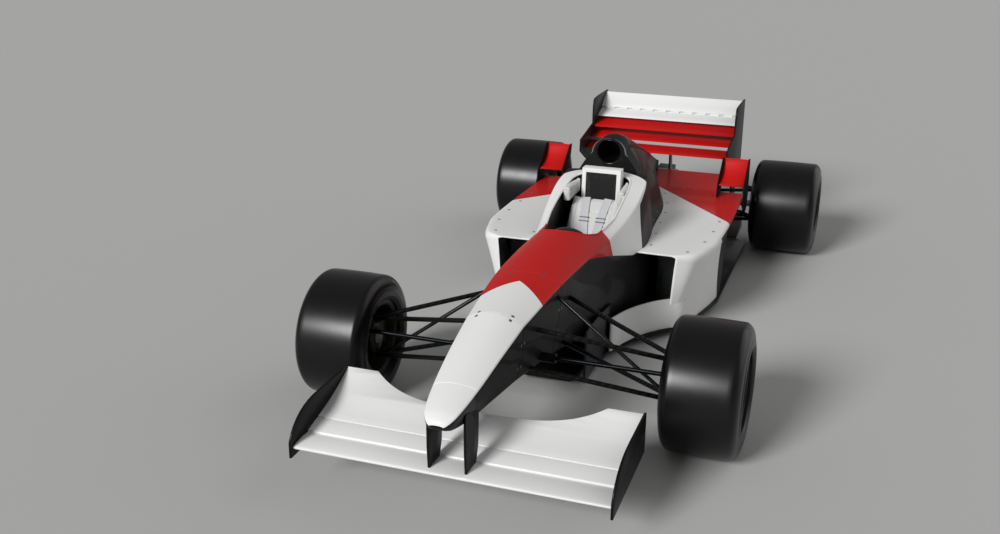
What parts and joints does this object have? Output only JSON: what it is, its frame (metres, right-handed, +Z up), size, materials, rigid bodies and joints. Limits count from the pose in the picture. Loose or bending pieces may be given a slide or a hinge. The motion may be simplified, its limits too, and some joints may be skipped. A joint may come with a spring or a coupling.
{
  "type": "open wheel racing car",
  "caption": "Single-seat open wheel racing car with raised nose, wide front wing, sidepods, airbox, multi-element rear wing, spinning slick wheels and working steering.",
  "frame": {"origin": "on the ground, under the middle of the car's overall length and width", "axes": "+X to the car's left, +Y to its rear so that the nose points along -Y, +Z up"},
  "size_m": [2.158, 4.43, 0.9946],
  "materials": {
    "body_white": "gloss white paint with red panels on carbon fibre bodywork",
    "body_red": "gloss red paint on carbon fibre",
    "wing_white": "gloss white paint on carbon fibre",
    "body_black": "gloss black paint on carbon fibre",
    "carbon": "satin carbon fibre laminate",
    "tyre": "slick racing tyre rubber",
    "rim": "satin dark magnesium alloy",
    "steel": "machined steel",
    "alloy": "cast alloy",
    "disc": "carbon brake disc and steel axle",
    "seat": "pale fabric over moulded foam",
    "pad": "black padded cover"
  },
  "bodies": {
    "chassis": {"nose_cone": "body_white", "front_wing_mainplane": "wing_white", "front_wing_flap": "wing_white", "front_wing_endplates": "body_black", "front_wing_pylons": "body_black", "monocoque": "body_white", "dashboard": "carbon", "seat": "seat", "headrest": "seat", "head_frame": "body_white", "head_pad": "pad", "engine_cover": "body_black", "sidepod_left": "body_white", "sidepod_right": "body_white", "sidepod_undercuts": "wing_white", "bargeboards": "carbon", "radiators": "alloy", "floor": "carbon", "diffuser": "carbon", "flip_ups": "body_red", "flip_up_endplates": "body_black", "engine": "alloy", "gearbox": "alloy", "rear_crash_structure": "carbon", "rear_wing_mainplane": "body_red", "rear_wing_flaps": "wing_white", "rear_wing_beam": "body_red", "rear_wing_endplates": "body_black", "rear_wing_pylons": "carbon", "front_wishbones": "carbon", "rear_wishbones": "carbon", "rear_uprights": "alloy", "steering_rack_housing": "alloy"},
    "steering_rack": {"steering_rack": "steel"},
    "steering_wheel": {"steering_wheel": "carbon"},
    "knuckle_front_left": {"front_upright_left": "alloy"},
    "knuckle_front_right": {"front_upright_right": "alloy"},
    "wheel_front_left": {"front_hub_left": "disc", "front_rim_left": "rim", "front_tyre_left": "tyre"},
    "wheel_front_right": {"front_hub_right": "disc", "front_rim_right": "rim", "front_tyre_right": "tyre"},
    "wheel_rear_left": {"rear_hub_left": "disc", "rear_rim_left": "rim", "rear_tyre_left": "tyre"},
    "wheel_rear_right": {"rear_hub_right": "disc", "rear_rim_right": "rim", "rear_tyre_right": "tyre"}
  },
  "joints": [
    {"name": "steer_left", "type": "hinge", "parent": "chassis", "child": "knuckle_front_left", "pos_m": [0.745, -1.205, 0.301], "axis": [0, 0, 1], "range_deg": [-18, 18]},
    {"name": "steer_right", "type": "hinge", "parent": "chassis", "child": "knuckle_front_right", "pos_m": [-0.745, -1.205, 0.301], "axis": [0, 0, 1], "range_deg": [-18, 18]},
    {"name": "rack_slide", "type": "slide", "parent": "chassis", "child": "steering_rack", "axis": [1, 0, 0], "range_m": [-0.0285, 0.0285]},
    {"name": "steering_wheel_turn", "type": "hinge", "parent": "chassis", "child": "steering_wheel", "pos_m": [0, -1.159, 0.42], "axis": [0, 0.968, 0.2511], "range_deg": [-181, 181]},
    {"name": "front_left_spin", "type": "hinge", "parent": "knuckle_front_left", "child": "wheel_front_left", "pos_m": [0.85, -1.205, 0.301], "axis": [1, 0, 0], "continuous": true},
    {"name": "front_right_spin", "type": "hinge", "parent": "knuckle_front_right", "child": "wheel_front_right", "pos_m": [-0.85, -1.205, 0.301], "axis": [1, 0, 0], "continuous": true},
    {"name": "rear_left_spin", "type": "hinge", "parent": "chassis", "child": "wheel_rear_left", "pos_m": [0.87, 1.715, 0.297], "axis": [1, 0, 0], "continuous": true},
    {"name": "rear_right_spin", "type": "hinge", "parent": "chassis", "child": "wheel_rear_right", "pos_m": [-0.87, 1.715, 0.297], "axis": [1, 0, 0], "continuous": true}
  ],
  "couplings": [
    {"joint": "steer_right", "follows": "steer_left", "ratio": 1},
    {"joint": "rack_slide", "follows": "steer_left", "m_per_rad": 0.09},
    {"joint": "steering_wheel_turn", "follows": "steer_left", "ratio": 10}
  ]
}
